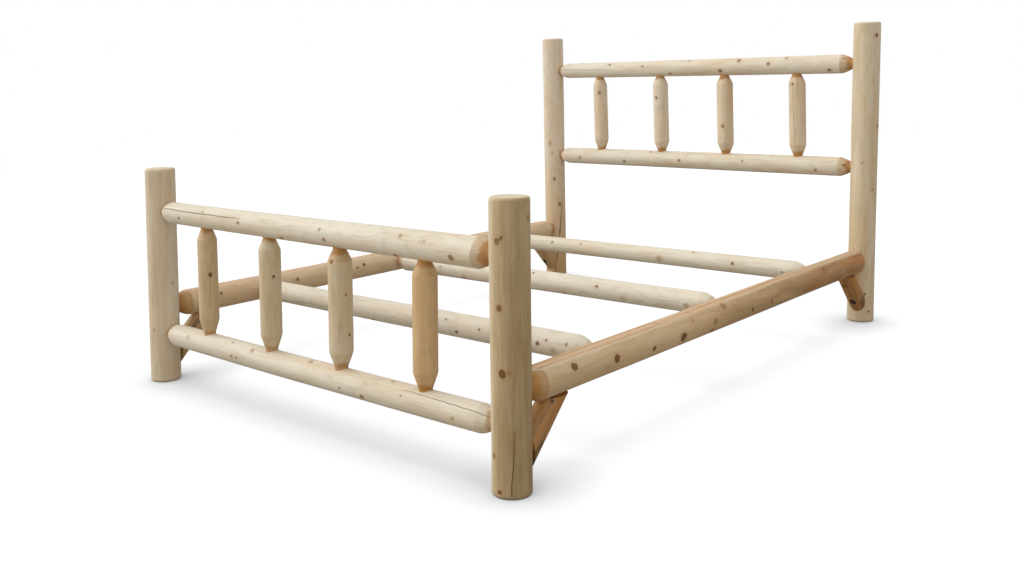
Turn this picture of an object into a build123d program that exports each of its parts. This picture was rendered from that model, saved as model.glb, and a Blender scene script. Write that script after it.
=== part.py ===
from build123d import *
from math import sqrt
import os

# Rustic log bed for a 1524 x 2032 mm mattress. Sizes are in millimetres.
# X runs from the left side to the right side as seen from the foot, Y from the foot to the
# head, Z up. The origin is on the floor, midway between the four posts.

# Plan
mattress_length = 2032.0
mattress_play = 12.0
post_spacing_across = 1470.0

# Heights above the floor: post tops, rail centre lines, slat centre lines, sawn rail tops
head_post_height = 1143.0
foot_post_height = 697.0
head_upper_rail_height = 989.5
head_lower_rail_height = 593.0
foot_upper_rail_height = 557.5
foot_lower_rail_height = 158.5
side_rail_top_height = 279.5
slat_height = 246.0

# Log diameters. A lying log narrows from its right end to its left end, as it grew.
post_diameter = 98.0
head_upper_rail_left_diameter = 68.5
head_upper_rail_right_diameter = 75.0
head_lower_rail_left_diameter = 74.0
head_lower_rail_right_diameter = 76.0
foot_upper_rail_left_diameter = 69.5
foot_upper_rail_right_diameter = 78.0
foot_lower_rail_left_diameter = 72.5
foot_lower_rail_right_diameter = 75.0
left_side_rail_diameter = 87.5
right_side_rail_diameter = 90.0
head_spindle_diameters = (64.0, 66.0, 68.0, 66.0)
foot_spindle_diameters = (62.0, 65.0, 68.0, 66.0)
foot_slat_left_diameter = 69.0
foot_slat_right_diameter = 74.0
middle_slat_left_diameter = 72.0
middle_slat_right_diameter = 73.0
head_slat_left_diameter = 64.0
head_slat_right_diameter = 71.0
brace_diameter = 63.0

# Places along the rails
spindle_spacing = 311.0
head_spindles_right_of_middle = 2.0
foot_spindles_left_of_middle = 5.0
slat_spacing = 669.0
middle_slat_footward = 20.0
brace_reach = 112.0         # from the corner between a brace's seats to its centre line

# Turned ends: a bullet-shaped shoulder runs down to a round tenon
shoulder_length = 38.0
shoulder_bulge = 2.0
panel_tenon_diameter = 40.0
panel_tenon_length = 60.0
side_tenon_diameter = 50.0
side_tenon_length = 55.0
spindle_tenon_diameter = 36.0
spindle_tenon_length = 28.0
spindle_neck = 9.0
slat_tenon_diameter = 40.0
slat_tenon_length = 32.0
rail_neck = 1.0             # bare tenon between a shoulder and the face that it enters
tenon_chamfer = 2.0
tenon_clearance = 0.15      # all round a tenon in its socket
socket_end_gap = 1.0        # left for glue past a tenon's end

# Sawn and planed faces
post_edge_round = 7.0
sawn_top_depth = 5.6        # taken off a side rail's crown
brace_seat_depth = 2.5      # planed flat where a brace bears on a round log

# Lag screws through the braces, with washers
lag_shank_diameter = 7.9
lag_length = 89.0
lag_point_length = 8.0
lag_head_across_flats = 12.7
lag_head_height = 5.5
washer_diameter = 20.0
washer_hole_diameter = 8.7
washer_thickness = 2.0
counterbore_diameter = 23.0
wood_under_lag_head = 26.0

# Wood screws that lock the panel rails' tenons from the back of each post
tenon_screw_diameter = 4.8
tenon_screw_length = 76.0
tenon_screw_point_length = 6.0
tenon_screw_head_diameter = 9.6
tenon_screw_head_height = 3.0
tenon_screw_sink = 1.5      # how far its head is driven below the post's surface

hole_clearance = 0.1        # all round a screw, and round a brace on its seats
cutter_lead = 6.0           # how far a cutting tool starts outside the wood

# Worked out from the sizes above
post_radius = post_diameter / 2
half_across = post_spacing_across / 2
half_along = (mattress_length + mattress_play + post_diameter) / 2
panel_span = post_spacing_across - post_diameter
side_span = 2 * half_along - post_diameter
shoulder_start = rail_neck + shoulder_length
post_seat = half_along - post_radius + brace_seat_depth
seat_length = brace_diameter * sqrt(2) + brace_seat_depth + 2 * hole_clearance

SIDES = {"left": -1, "right": 1}
ENDS = {"foot": -1, "head": 1}
# The rotation that turns +Z to point from the middle of the bed to each side or end
OUTWARD = {"left": (0, -90, 0), "right": (0, 90, 0), "foot": (90, 0, 0), "head": (-90, 0, 0)}

POST_HEIGHTS = {"foot": foot_post_height, "head": head_post_height}
# Each panel rail: its height, its left diameter and its right diameter
PANEL_RAILS = {
    ("head", "upper"): (
        head_upper_rail_height, head_upper_rail_left_diameter, head_upper_rail_right_diameter),
    ("head", "lower"): (
        head_lower_rail_height, head_lower_rail_left_diameter, head_lower_rail_right_diameter),
    ("foot", "upper"): (
        foot_upper_rail_height, foot_upper_rail_left_diameter, foot_upper_rail_right_diameter),
    ("foot", "lower"): (
        foot_lower_rail_height, foot_lower_rail_left_diameter, foot_lower_rail_right_diameter),
}
SPINDLE_DIAMETERS = {"foot": foot_spindle_diameters, "head": head_spindle_diameters}
SPINDLE_SHIFTS = {"foot": -foot_spindles_left_of_middle, "head": head_spindles_right_of_middle}
SIDE_RAIL_DIAMETERS = {"left": left_side_rail_diameter, "right": right_side_rail_diameter}
# Each slat: its place along the bed, its left diameter and its right diameter
SLATS = {
    "foot": (-middle_slat_footward - slat_spacing, foot_slat_left_diameter, foot_slat_right_diameter),
    "middle": (-middle_slat_footward, middle_slat_left_diameter, middle_slat_right_diameter),
    "head": (slat_spacing - middle_slat_footward, head_slat_left_diameter, head_slat_right_diameter),
}


def side_rail_axis_height(side):
    """Centre line of a side rail, below its sawn top."""
    return side_rail_top_height + sawn_top_depth - SIDE_RAIL_DIAMETERS[side] / 2


def rail_seat_height(side):
    """Height of the flats planed under a side rail for its braces."""
    return side_rail_axis_height(side) - SIDE_RAIL_DIAMETERS[side] / 2 + brace_seat_depth


def side_rail_inner_face(side):
    """Distance from the middle of the bed to the inner face of a side rail."""
    return half_across - SIDE_RAIL_DIAMETERS[side] / 2


def spindle_places(end):
    """X of each spindle of a panel."""
    count = len(SPINDLE_DIAMETERS[end])
    first = SPINDLE_SHIFTS[end] - (count - 1) * spindle_spacing / 2
    return [first + index * spindle_spacing for index in range(count)]


def panel_rail_radius(end, level, x):
    """Radius of a panel rail where a spindle meets it."""
    _, left_diameter, right_diameter = PANEL_RAILS[end, level]
    share = (x + panel_span / 2 - shoulder_start) / (panel_span - 2 * shoulder_start)
    return (left_diameter + (right_diameter - left_diameter) * share) / 2


def shoulder_arc(tenon_radius, neck_height, log_radius, ring_height):
    """Bulging line from a tenon to the full log, outside its straight chord."""
    neck = Vector(tenon_radius, neck_height)
    ring = Vector(log_radius, ring_height)
    chord = ring - neck
    outward = Vector(abs(chord.Y), -chord.X if chord.Y > 0 else chord.X).normalized()
    return ThreePointArc(neck, (neck + ring) / 2 + outward * shoulder_bulge, ring)


def turned_log(clear_length, start_diameter, end_diameter, tenon_diameter, tenon_length, neck):
    """Log along +Z between faces at 0 and clear_length, with a shoulder and tenon at each end."""
    tenon_radius = tenon_diameter / 2
    start_radius = start_diameter / 2
    end_radius = end_diameter / 2
    ring = neck + shoulder_length
    tail = -tenon_length
    nose = clear_length + tenon_length
    with BuildPart() as log:
        with BuildSketch(Plane.XZ):
            with BuildLine():
                Polyline(
                    (0, tail),
                    (tenon_radius - tenon_chamfer, tail),
                    (tenon_radius, tail + tenon_chamfer),
                    (tenon_radius, neck),
                )
                shoulder_arc(tenon_radius, neck, start_radius, ring)
                Line((start_radius, ring), (end_radius, clear_length - ring))
                shoulder_arc(tenon_radius, clear_length - neck, end_radius, clear_length - ring)
                Polyline(
                    (tenon_radius, clear_length - neck),
                    (tenon_radius, nose - tenon_chamfer),
                    (tenon_radius - tenon_chamfer, nose),
                    (0, nose),
                    (0, tail),
                )
            make_face()
        revolve(axis=Axis.Z)
    return log.part


def bore(place, rotation, diameter, depth):
    """Cutter that enters the wood at place and goes depth deep along its turned +Z."""
    cutter = Pos(0, 0, -cutter_lead) * Cylinder(
        diameter / 2, depth + cutter_lead, align=(Align.CENTER, Align.CENTER, Align.MIN))
    return Location(place, rotation) * cutter


def socket(place, rotation, tenon_diameter, tenon_length):
    """Cutter for the bored socket of a tenon."""
    return bore(
        place, rotation, tenon_diameter + 2 * tenon_clearance, tenon_length + socket_end_gap)


def turned_outline(*points):
    """Solid turned about +Z from (radius, height) points that start and end on the axis."""
    with BuildPart() as piece:
        with BuildSketch(Plane.XZ):
            with BuildLine():
                Polyline(*points, close=True)
            make_face()
        revolve(axis=Axis.Z)
    return piece.part


def tenon_screw(place):
    """Countersunk wood screw driven along -Y, the flat of its head at place."""
    screw = turned_outline(
        (0, 0),
        (tenon_screw_head_diameter / 2, 0),
        (tenon_screw_diameter / 2, tenon_screw_head_height),
        (tenon_screw_diameter / 2, tenon_screw_length - tenon_screw_point_length),
        (0, tenon_screw_length),
    )
    return Location(place, OUTWARD["foot"]) * screw


def tenon_screw_hole(place):
    """Cutter for a tenon screw and its sunk head."""
    mouth_radius = tenon_screw_head_diameter / 2 + hole_clearance
    shank_radius = tenon_screw_diameter / 2 + hole_clearance
    cutter = turned_outline(
        (0, -cutter_lead),
        (mouth_radius, -cutter_lead),
        (mouth_radius, 0),
        (shank_radius, tenon_screw_head_height),
        (shank_radius, tenon_screw_length - tenon_screw_point_length),
        (0, tenon_screw_length + hole_clearance),
    )
    return Location(place, OUTWARD["foot"]) * cutter


def tenon_screw_place(side, end, level):
    """Middle of a tenon screw's head, just inside the head-side face of a post."""
    height = PANEL_RAILS[end, level][0]
    y = ENDS[end] * half_along + post_radius - tenon_screw_sink
    return (SIDES[side] * half_across, y, height)


def lag_places(side, end):
    """Each lag screw of a brace: the middle of its washer's bearing face and its rotation."""
    x = SIDES[side] * half_across
    rail_seat = rail_seat_height(side)
    up_into_rail = (x, ENDS[end] * (post_seat - brace_reach), rail_seat - wood_under_lag_head)
    into_post = (x, ENDS[end] * (post_seat - wood_under_lag_head), rail_seat - brace_reach)
    return [(up_into_rail, (0, 0, 0)), (into_post, OUTWARD[end])]


def lag_reach():
    """How far a lag screw goes past its washer's bearing face."""
    return lag_length - washer_thickness


def lag_screw():
    """Hexagon-head lag screw along +Z, with the washer's bearing face at z = 0."""
    head_radius = lag_head_across_flats / sqrt(3)
    head_bottom = -washer_thickness - lag_head_height
    shank_length = lag_length - lag_point_length
    head = Pos(0, 0, head_bottom) * extrude(
        RegularPolygon(radius=head_radius, side_count=6), lag_head_height)
    shank = Pos(0, 0, -washer_thickness) * Cylinder(
        lag_shank_diameter / 2, shank_length, align=(Align.CENTER, Align.CENTER, Align.MIN))
    point = Pos(0, 0, shank_length - washer_thickness) * Cone(
        lag_shank_diameter / 2, 0, lag_point_length,
        align=(Align.CENTER, Align.CENTER, Align.MIN))
    return head + shank + point


def washer():
    """Flat washer that bears at z = 0 and faces the screw's head."""
    disc = Cylinder(
        washer_diameter / 2, washer_thickness, align=(Align.CENTER, Align.CENTER, Align.MAX))
    hole = Cylinder(washer_hole_diameter / 2, 2 * cutter_lead)
    return disc - hole


def lag_hole(place, rotation):
    """Cutter for a lag screw's shank, from its washer inwards."""
    return bore(
        place, rotation, lag_shank_diameter + 2 * hole_clearance, lag_reach() + hole_clearance)


def post_seat_cutter(side, end):
    """Cutter for the flat on a post where its brace bears, open towards the side rail."""
    thickness = brace_seat_depth + cutter_lead
    place = (
        SIDES[side] * half_across,
        ENDS[end] * (post_seat - thickness / 2),
        rail_seat_height(side) - brace_reach + brace_seat_depth / 2,
    )
    return Pos(*place) * Box(post_diameter, thickness, seat_length)


def rail_seat_cutter(side, end):
    """Cutter for the flat under a side rail where its brace bears, open towards the post."""
    thickness = brace_seat_depth + cutter_lead
    place = (
        SIDES[side] * half_across,
        ENDS[end] * (post_seat - brace_reach + brace_seat_depth / 2),
        rail_seat_height(side) - thickness / 2,
    )
    return Pos(*place) * Box(SIDE_RAIL_DIAMETERS[side], seat_length, thickness)


def post(side, end):
    """Corner post with its sockets, brace seat and screw holes."""
    x = SIDES[side] * half_across
    y = ENDS[end] * half_along
    log = Cylinder(
        post_radius, POST_HEIGHTS[end], align=(Align.CENTER, Align.CENTER, Align.MIN))
    log = Pos(x, y, 0) * fillet(log.edges().filter_by(GeomType.CIRCLE), post_edge_round)
    for level in ("upper", "lower"):
        mouth = (x - SIDES[side] * post_radius, y, PANEL_RAILS[end, level][0])
        log -= socket(mouth, OUTWARD[side], panel_tenon_diameter, panel_tenon_length)
        log -= tenon_screw_hole(tenon_screw_place(side, end, level))
    mouth = (x, y - ENDS[end] * post_radius, side_rail_axis_height(side))
    log -= socket(mouth, OUTWARD[end], side_tenon_diameter, side_tenon_length)
    log -= post_seat_cutter(side, end)
    log -= lag_hole(*lag_places(side, end)[1])
    return log


def panel_rail(end, level):
    """Round rail of the headboard or footboard, bored for its spindles."""
    height, left_diameter, right_diameter = PANEL_RAILS[end, level]
    y = ENDS[end] * half_along
    log = turned_log(
        panel_span, left_diameter, right_diameter, panel_tenon_diameter, panel_tenon_length,
        rail_neck)
    log = Location((-panel_span / 2, y, height), OUTWARD["right"]) * log
    away = 1 if level == "lower" else -1
    into_rail = (180, 0, 0) if level == "lower" else (0, 0, 0)
    for x in spindle_places(end):
        mouth = (x, y, height + away * panel_rail_radius(end, level, x))
        log -= socket(mouth, into_rail, spindle_tenon_diameter, spindle_tenon_length)
    for side in SIDES:
        log -= tenon_screw_hole(tenon_screw_place(side, end, level))
    return log


def spindle(end, index):
    """Upright turned log between the two rails of a panel."""
    x = spindle_places(end)[index]
    diameter = SPINDLE_DIAMETERS[end][index]
    bottom = PANEL_RAILS[end, "lower"][0] + panel_rail_radius(end, "lower", x)
    top = PANEL_RAILS[end, "upper"][0] - panel_rail_radius(end, "upper", x)
    log = turned_log(
        top - bottom, diameter, diameter, spindle_tenon_diameter, spindle_tenon_length,
        spindle_neck)
    return Pos(x, ENDS[end] * half_along, bottom) * log


def side_rail(side):
    """Side rail with a sawn flat top, slat sockets and brace seats."""
    diameter = SIDE_RAIL_DIAMETERS[side]
    x = SIDES[side] * half_across
    log = turned_log(
        side_span, diameter, diameter, side_tenon_diameter, side_tenon_length, rail_neck)
    log = Location((x, -side_span / 2, side_rail_axis_height(side)), OUTWARD["head"]) * log
    saw = Box(
        diameter, 2 * half_along, diameter, align=(Align.CENTER, Align.CENTER, Align.MIN))
    log -= Pos(x, 0, side_rail_top_height) * saw
    for y, *_ in SLATS.values():
        mouth = (SIDES[side] * side_rail_inner_face(side), y, slat_height)
        log -= socket(mouth, OUTWARD[side], slat_tenon_diameter, slat_tenon_length)
    for end in ENDS:
        log -= rail_seat_cutter(side, end)
        log -= lag_hole(*lag_places(side, end)[0])
    return log


def slat(name):
    """Round cross slat that is trapped between the side rails."""
    y, left_diameter, right_diameter = SLATS[name]
    left_face = -side_rail_inner_face("left")
    clear_length = side_rail_inner_face("right") - left_face
    log = turned_log(
        clear_length, left_diameter, right_diameter, slat_tenon_diameter, slat_tenon_length,
        rail_neck)
    return Location((left_face, y, slat_height), OUTWARD["right"]) * log


def brace(side, end):
    """Mitred log that ties a side rail to a post, with two counterbored screw holes."""
    rail_seat = rail_seat_height(side)
    reach = 4 * brace_reach
    middle = (0, post_seat - brace_reach / 2, rail_seat - brace_reach / 2)
    log = Location(middle, (45, 0, 0)) * Cylinder(brace_diameter / 2, reach)
    room = Box(reach, reach, reach, align=(Align.CENTER, Align.MAX, Align.MAX))
    log = log & Pos(0, post_seat, rail_seat) * room
    if ENDS[end] < 0:
        log = mirror(log, Plane.XZ)
    log = Pos(SIDES[side] * half_across, 0, 0) * log
    recess = Cylinder(
        counterbore_diameter / 2, reach, align=(Align.CENTER, Align.CENTER, Align.MAX))
    for place, rotation in lag_places(side, end):
        log -= lag_hole(place, rotation)
        log -= Location(place, rotation) * recess
    return log


def placed_on_lags(piece):
    """Copies of a piece at every lag screw of the four braces."""
    return [
        Location(*place) * piece
        for side in SIDES
        for end in ENDS
        for place in lag_places(side, end)
    ]


def group(solids):
    """Separate like solids that share one node."""
    return Compound([solid for part in solids for solid in part.solids()])


def build():
    """Every node of the bed, by name."""
    nodes = {}
    for end in ENDS:
        board = end + "board"
        for side in SIDES:
            nodes[f"{end}_post_{side}"] = post(side, end)
            nodes[f"corner_brace_{end}_{side}"] = brace(side, end)
        for level in ("upper", "lower"):
            nodes[f"{board}_{level}_rail"] = panel_rail(end, level)
        for index in range(len(SPINDLE_DIAMETERS[end])):
            nodes[f"{board}_spindle_{index + 1}"] = spindle(end, index)
    for side in SIDES:
        nodes[f"side_rail_{side}"] = side_rail(side)
    for name in SLATS:
        nodes[f"cross_slat_{name}"] = slat(name)
    nodes["brace_lag_screws"] = group(placed_on_lags(lag_screw()))
    nodes["brace_washers"] = group(placed_on_lags(washer()))
    nodes["tenon_lock_screws"] = group(
        tenon_screw(tenon_screw_place(side, end, level))
        for side in SIDES for end, level in PANEL_RAILS)
    return nodes


if __name__ == "__main__":
    os.makedirs("parts", exist_ok=True)
    for node, shape in build().items():
        export_step(shape, f"parts/{node}.step")
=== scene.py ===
import math

import bpy
import numpy as np
from mathutils import Matrix, Vector


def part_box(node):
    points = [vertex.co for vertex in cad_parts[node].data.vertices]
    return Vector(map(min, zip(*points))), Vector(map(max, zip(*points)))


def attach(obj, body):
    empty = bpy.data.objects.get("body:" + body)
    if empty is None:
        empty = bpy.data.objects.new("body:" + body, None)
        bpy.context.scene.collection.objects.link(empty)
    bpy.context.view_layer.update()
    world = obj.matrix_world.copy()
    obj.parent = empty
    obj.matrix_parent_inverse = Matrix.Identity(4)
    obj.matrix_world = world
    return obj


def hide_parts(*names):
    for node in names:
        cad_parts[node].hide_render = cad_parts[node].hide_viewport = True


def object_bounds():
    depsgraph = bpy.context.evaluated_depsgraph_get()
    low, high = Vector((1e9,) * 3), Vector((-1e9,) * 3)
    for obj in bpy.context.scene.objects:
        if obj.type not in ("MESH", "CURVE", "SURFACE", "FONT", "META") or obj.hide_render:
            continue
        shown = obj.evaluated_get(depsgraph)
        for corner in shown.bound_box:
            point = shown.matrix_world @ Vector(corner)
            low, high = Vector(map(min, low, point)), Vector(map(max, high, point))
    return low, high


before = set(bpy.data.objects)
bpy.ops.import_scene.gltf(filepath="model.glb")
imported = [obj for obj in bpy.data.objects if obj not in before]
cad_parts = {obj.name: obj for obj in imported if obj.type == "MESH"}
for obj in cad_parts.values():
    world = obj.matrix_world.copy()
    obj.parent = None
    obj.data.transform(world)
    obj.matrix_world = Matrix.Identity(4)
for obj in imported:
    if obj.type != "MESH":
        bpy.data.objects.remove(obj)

bl_info = {
    "name": "Rustic Log Bed",
    "version": (1, 0, 0),
    "blender": (4, 5, 0),
    "location": "3D View > Sidebar > Log Bed",
    "description": "Peeled logs, drawknifed tenon shoulders and sawn rail tops over a packed bed frame",
    "category": "Object",
}

CAD_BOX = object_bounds()
BODY = "root"

# The camera's place in metres, how far it is turned in degrees, and its focal length and the point
# that it looks straight at in pixels of its frame
CAMERA_PLACE = np.array([2.1904, -2.8408, 0.9630])
CAMERA_YAW, CAMERA_PITCH, CAMERA_ROLL = 42.309, -5.674, -1.221
FRAME_WIDTH, FRAME_HEIGHT = 1024, 579
FOCAL_LENGTH = 1016.43
AHEAD_X, AHEAD_Y = 457.21, 180.0

PANEL_TENON_LENGTH = 0.060
SIDE_TENON_LENGTH = 0.055
SLAT_TENON_LENGTH = 0.032
SPINDLE_TENON_LENGTH = 0.028
LIP = 0.012             # angle between a check's middle column and its lips before it opens
CHECK_WANDER = 0.003    # how far a check strays from its line, in metres
CHECK_DEPTH = 0.004     # the most that a check goes into the wood, in metres
CLOSED_CHECK = 0.0002   # a check this narrow, in metres, is closed
KNOT_STEP = 165         # mean distance between knots along a log, in millimetres
NO_KNOT = 9.0           # distance from a knot, in knot radii, at which it leaves no trace
UNCUT = 10.0            # radius in metres of a knife or saw that never reaches the log
RING_GAP = 1.5          # distance between two growth layers, in millimetres
BRACE_KNOT = (0.7588, -0.9473, 0.1920)  # the one knot of the right foot brace, in metres

# A log's own directions: along it, the one its angles start from, and the one at 90 degrees.
# Upright logs count from the foot side towards the right, lying ones from the top.
DIRECTIONS = {
    "x": np.array([(1.0, 0.0, 0.0), (0.0, 0.0, 1.0), (0.0, -1.0, 0.0)]),
    "y": np.array([(0.0, 1.0, 0.0), (0.0, 0.0, 1.0), (1.0, 0.0, 0.0)]),
    "z": np.array([(0.0, 0.0, 1.0), (0.0, -1.0, 0.0), (1.0, 0.0, 0.0)]),
}


# ---------------------------------------------------------------- sizes and colours

def length(label, text, metres):
    """A size that a user may change, in metres."""
    return bpy.props.FloatProperty(
        name=label, description=text, default=metres, min=0.0, subtype="DISTANCE", unit="LENGTH")


def colour(label, text, rgb):
    """A colour that a user may change, as linear red, green and blue."""
    return bpy.props.FloatVectorProperty(
        name=label, description=text, default=rgb, size=3, min=0.0, max=1.0, subtype="COLOR")


def strength(label, text, number):
    """How bright a light is, which a user may change."""
    return bpy.props.FloatProperty(name=label, description=text, default=number, min=0.0)


def spread(label, text, degrees):
    """The angle that a light fills, which a user may change."""
    return bpy.props.FloatProperty(
        name=label, description=text, default=math.radians(degrees), subtype="ANGLE")


class LogSizes(bpy.types.PropertyGroup):
    """How the logs are shaped."""

    row_step: length("Row step", "Distance between two rows of a log's mesh", 0.006)
    column_step: length("Column step", "Distance between two columns round a log", 0.0034)
    bark_waver: length("Waver", "How far a peeled log is out of round", 0.0009)
    peel_margin: length("Peel margin", "Room kept for waver inside the log's largest radius", 0.0009)
    bulge: length("Bulge", "How far a shoulder stands outside its straight cone", 0.002)
    spindle_bulge: length("Spindle bulge", "The same on the spindles", 0.0006)
    spindle_foot: length("Spindle foot", "Length of a spindle's lower shoulder", 0.040)
    spindle_head: length("Spindle head", "Length of a spindle's upper shoulder", 0.031)
    panel_tenon: length("Panel tenon", "Diameter of a panel rail's tenon", 0.040)
    side_tenon: length("Side tenon", "Diameter of a side rail's tenon", 0.050)
    spindle_tenon: length("Spindle tenon", "Diameter of a spindle's tenon", 0.036)
    slat_tenon: length("Slat tenon", "Diameter of a cross slat's tenon", 0.040)
    top_round: length("Top round", "Radius of the eased edge of a post", 0.007)
    knot_rise: length("Knot rise", "How far a trimmed knot stands out", 0.0009)


class WoodColours(bpy.types.PropertyGroup):
    """The colours of the peeled cedar and the screws."""

    pale: colour("Pale", "Fresh sapwood just under the bark", (0.78, 0.715, 0.585))
    honey: colour("Honey", "Sapwood that has seen some sun", (0.66, 0.52, 0.32))
    tan: colour("Tan", "Darker logs with more heartwood", (0.40, 0.28, 0.14))
    blush: colour("Blush", "What pink wood lets through of the colour under it", (1.0, 0.84, 0.68))
    cut: colour("Cut", "Wood bared by the drawknife", (0.52, 0.28, 0.105))
    sawn: colour("Sawn", "Flat sawn tops of the side rails", (0.68, 0.49, 0.325))
    end: colour("End grain", "Sawn ends of the posts", (0.74, 0.62, 0.44))
    amber: colour("Amber", "Heartwood of the corner braces", (0.45, 0.195, 0.034))
    knot: colour("Knot", "Heart of a knot", (0.26, 0.12, 0.045))
    rim: colour("Rim", "Ring of bark round a knot", (0.062, 0.026, 0.010))
    # Painted shade: near-black that stands for the shade inside a check's groove
    check: colour("Check", "Depth of a drying check", (0.06, 0.027, 0.010))
    # Painted shade: both steel colours are far darker than bare zinc, standing for the shade in the
    # counterbores
    shaded_steel_dark: colour("Dark steel", "Darker crystals of the zinc plate", (0.045, 0.045, 0.046))
    shaded_steel_light: colour("Light steel", "Lighter crystals of the zinc plate", (0.09, 0.09, 0.092))


class StageSettings(bpy.types.PropertyGroup):
    """The floor and the light."""

    floor_reach: length("Floor", "Half the width of the floor", 9.0)
    floor_seen: colour("Floor colour", "The floor as the camera sees it", (0.67, 0.70, 0.74))
    floor_bounce: colour("Bounce", "What the floor gives back to the bed", (0.48, 0.43, 0.36))
    # Painted shadow: how far from a piece the floor's own glow is dimmed
    shadow_reach: length("Shadow reach", "How far from a piece the floor's glow fades", 0.2)
    glow: strength("Glow", "Strength of the floor's own pale glow", 0.62)
    sky: strength("Sky", "Strength of the even light all round", 0.46)
    top: strength("Top", "Strength of the wide light overhead", 0.85)
    side: strength("Side", "Strength of the wide light from the left foot side", 1.75)
    fill: strength("Fill", "Strength of the faint light from the right foot corner", 0.64)
    top_spread: spread("Top spread", "Angle that the overhead light fills", 45)
    side_spread: spread("Side spread", "Angle that the side light fills", 55)
    fill_spread: spread("Fill spread", "Angle that the faint light fills", 80)


# ---------------------------------------------------------------- shapes

class Log:
    """Where one log lies and what is worked into it. Places and sizes are in metres."""

    tenon = None
    tenon_length = 0.0
    neck = 0.001
    shoulders = (0.038, 0.038)
    bulge = 0.0
    chipped = 0.3
    flats = ()
    knots = ()
    checks = ()
    tone = (0.2, 0.2)
    heart = (0.1, 0.1)
    blush = (0.15, 0.15)
    # Painted light: a side painted paler where the lamp from the left foot side falls on it, as (angle, how
    # much paler); none by default
    pale_side = (0, 0.0)
    lean_0 = (0.0, 0.0)
    lean_90 = (0.0, 0.0)
    sag = 0.0

    def __init__(self, node, axis, low, high, radii, **extras):
        self.node = node
        self.axis = axis
        self.low = low
        self.high = high
        self.radius_low, self.radius_high = radii
        corner_low, corner_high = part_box(node)
        self.middle = (np.array(corner_low) + np.array(corner_high)) / 2
        self.seed = sum(ord(letter) * (place + 3) for place, letter in enumerate(node))
        for name, value in extras.items():
            setattr(self, name, value)

    def share(self, along):
        """How far along the log a place is, from 0 at its low end to 1 at its high end."""
        return (along - self.low) / (self.high - self.low)


def waver(along, around, seed, lobes, wavelength, count):
    """Sum of slow waves over a log, between -1 and 1: each wave is the cosine of a whole number
    of lobes times the angle, plus its place along the log over its wavelength, plus a phase."""
    rng = np.random.default_rng(seed)
    lobe = rng.integers(lobes[0], lobes[1] + 1, count)
    pitch = 2 * np.pi / rng.uniform(wavelength[0], wavelength[1], count) * rng.choice((-1, 1), count)
    phase = rng.uniform(0, 2 * np.pi, count)
    size = 1 / (1 + lobe)
    waves = np.cos(around[..., None] * lobe + along[..., None] * pitch + phase) * size
    return waves.sum(axis=-1) / size.sum()


def shoulder_radius(past_neck, shoulder, tenon_radius, log_radius, bulge):
    """Radius of a bullet-shaped shoulder: a straight cone from the tenon to the log plus a
    parabola that stands out by the bulge halfway, and the cone carried on past the log."""
    share = past_neck / shoulder
    cone = tenon_radius + (log_radius - tenon_radius) * share
    crown = 4 * bulge * np.maximum(share, 0) * (1 - share)
    return np.maximum(cone + np.where(share < 1.6, crown, 1.0), tenon_radius)


def facets(around, seed, count):
    """Radius of a many-sided knife cut over that of the round: the cosine of half a side's angle
    over the cosine of the angle from that side's middle, with sides of uneven width."""
    rng = np.random.default_rng(seed)
    bent = around + 0.22 * np.sin(around + rng.uniform(0, 6)) + 0.1 * np.sin(3 * around + rng.uniform(0, 6))
    side = 2 * np.pi / count
    return np.cos(side / 2) / np.cos(np.mod(bent, side) - side / 2)


def row_places(log, sizes):
    """Places along a log for its mesh rows, closer together where a shoulder starts."""
    fine = 0.0022
    past_shoulder = 0.012
    if log.tenon is None:
        return np.linspace(log.low, log.high, int((log.high - log.low) / sizes.row_step) + 1)
    near, far = (np.concatenate([
        [-log.tenon_length, -log.tenon_length * 0.5, -0.001, 0, log.neck],
        np.arange(log.neck + fine, log.neck + shoulder + past_shoulder, fine)])
        for shoulder in log.shoulders)
    start = log.low + near
    end = log.high - far[::-1]
    count = int((end[0] - start[-1]) / sizes.row_step) + 1
    body = np.linspace(start[-1], end[0], count + 1)[1:-1]
    return np.concatenate([start, body, end])


def column_angles(log, sizes):
    """Angles for a log's mesh columns: even ones, and close ones by a flat's edges and a check."""
    radius = max(log.radius_low, log.radius_high)
    count = max(48, int(2 * np.pi * radius / sizes.column_step))
    even = np.arange(count) * 2 * np.pi / count
    close = []
    for facing, distance, start, end in log.flats:
        if end - start > (log.high - log.low) / 2:
            half = math.acos(distance / radius)
            close += [facing + side * half + step for side in (-1, 1) for step in (-LIP, 0, LIP)]
    for check in log.checks:
        middle = math.radians(check[0] + check[1]) / 2
        close += [middle - LIP, middle, middle + LIP]
    close = np.mod(np.array(close), 2 * np.pi)
    if len(close):
        gap = np.abs(np.mod(even[:, None] - close[None, :] + np.pi, 2 * np.pi) - np.pi)
        even = even[gap.min(axis=1) > 0.02]
    return np.sort(np.concatenate([even, close]))


def along_log(values, share):
    """Runs straight between values that stand at even steps from a log's low end to its high."""
    return np.interp(share, np.linspace(0, 1, len(values)), values)


def turn_between(around, middle):
    """Signed angle from a middle angle, between minus half a turn and half a turn."""
    return np.mod(around - middle + np.pi, 2 * np.pi) - np.pi


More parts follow.
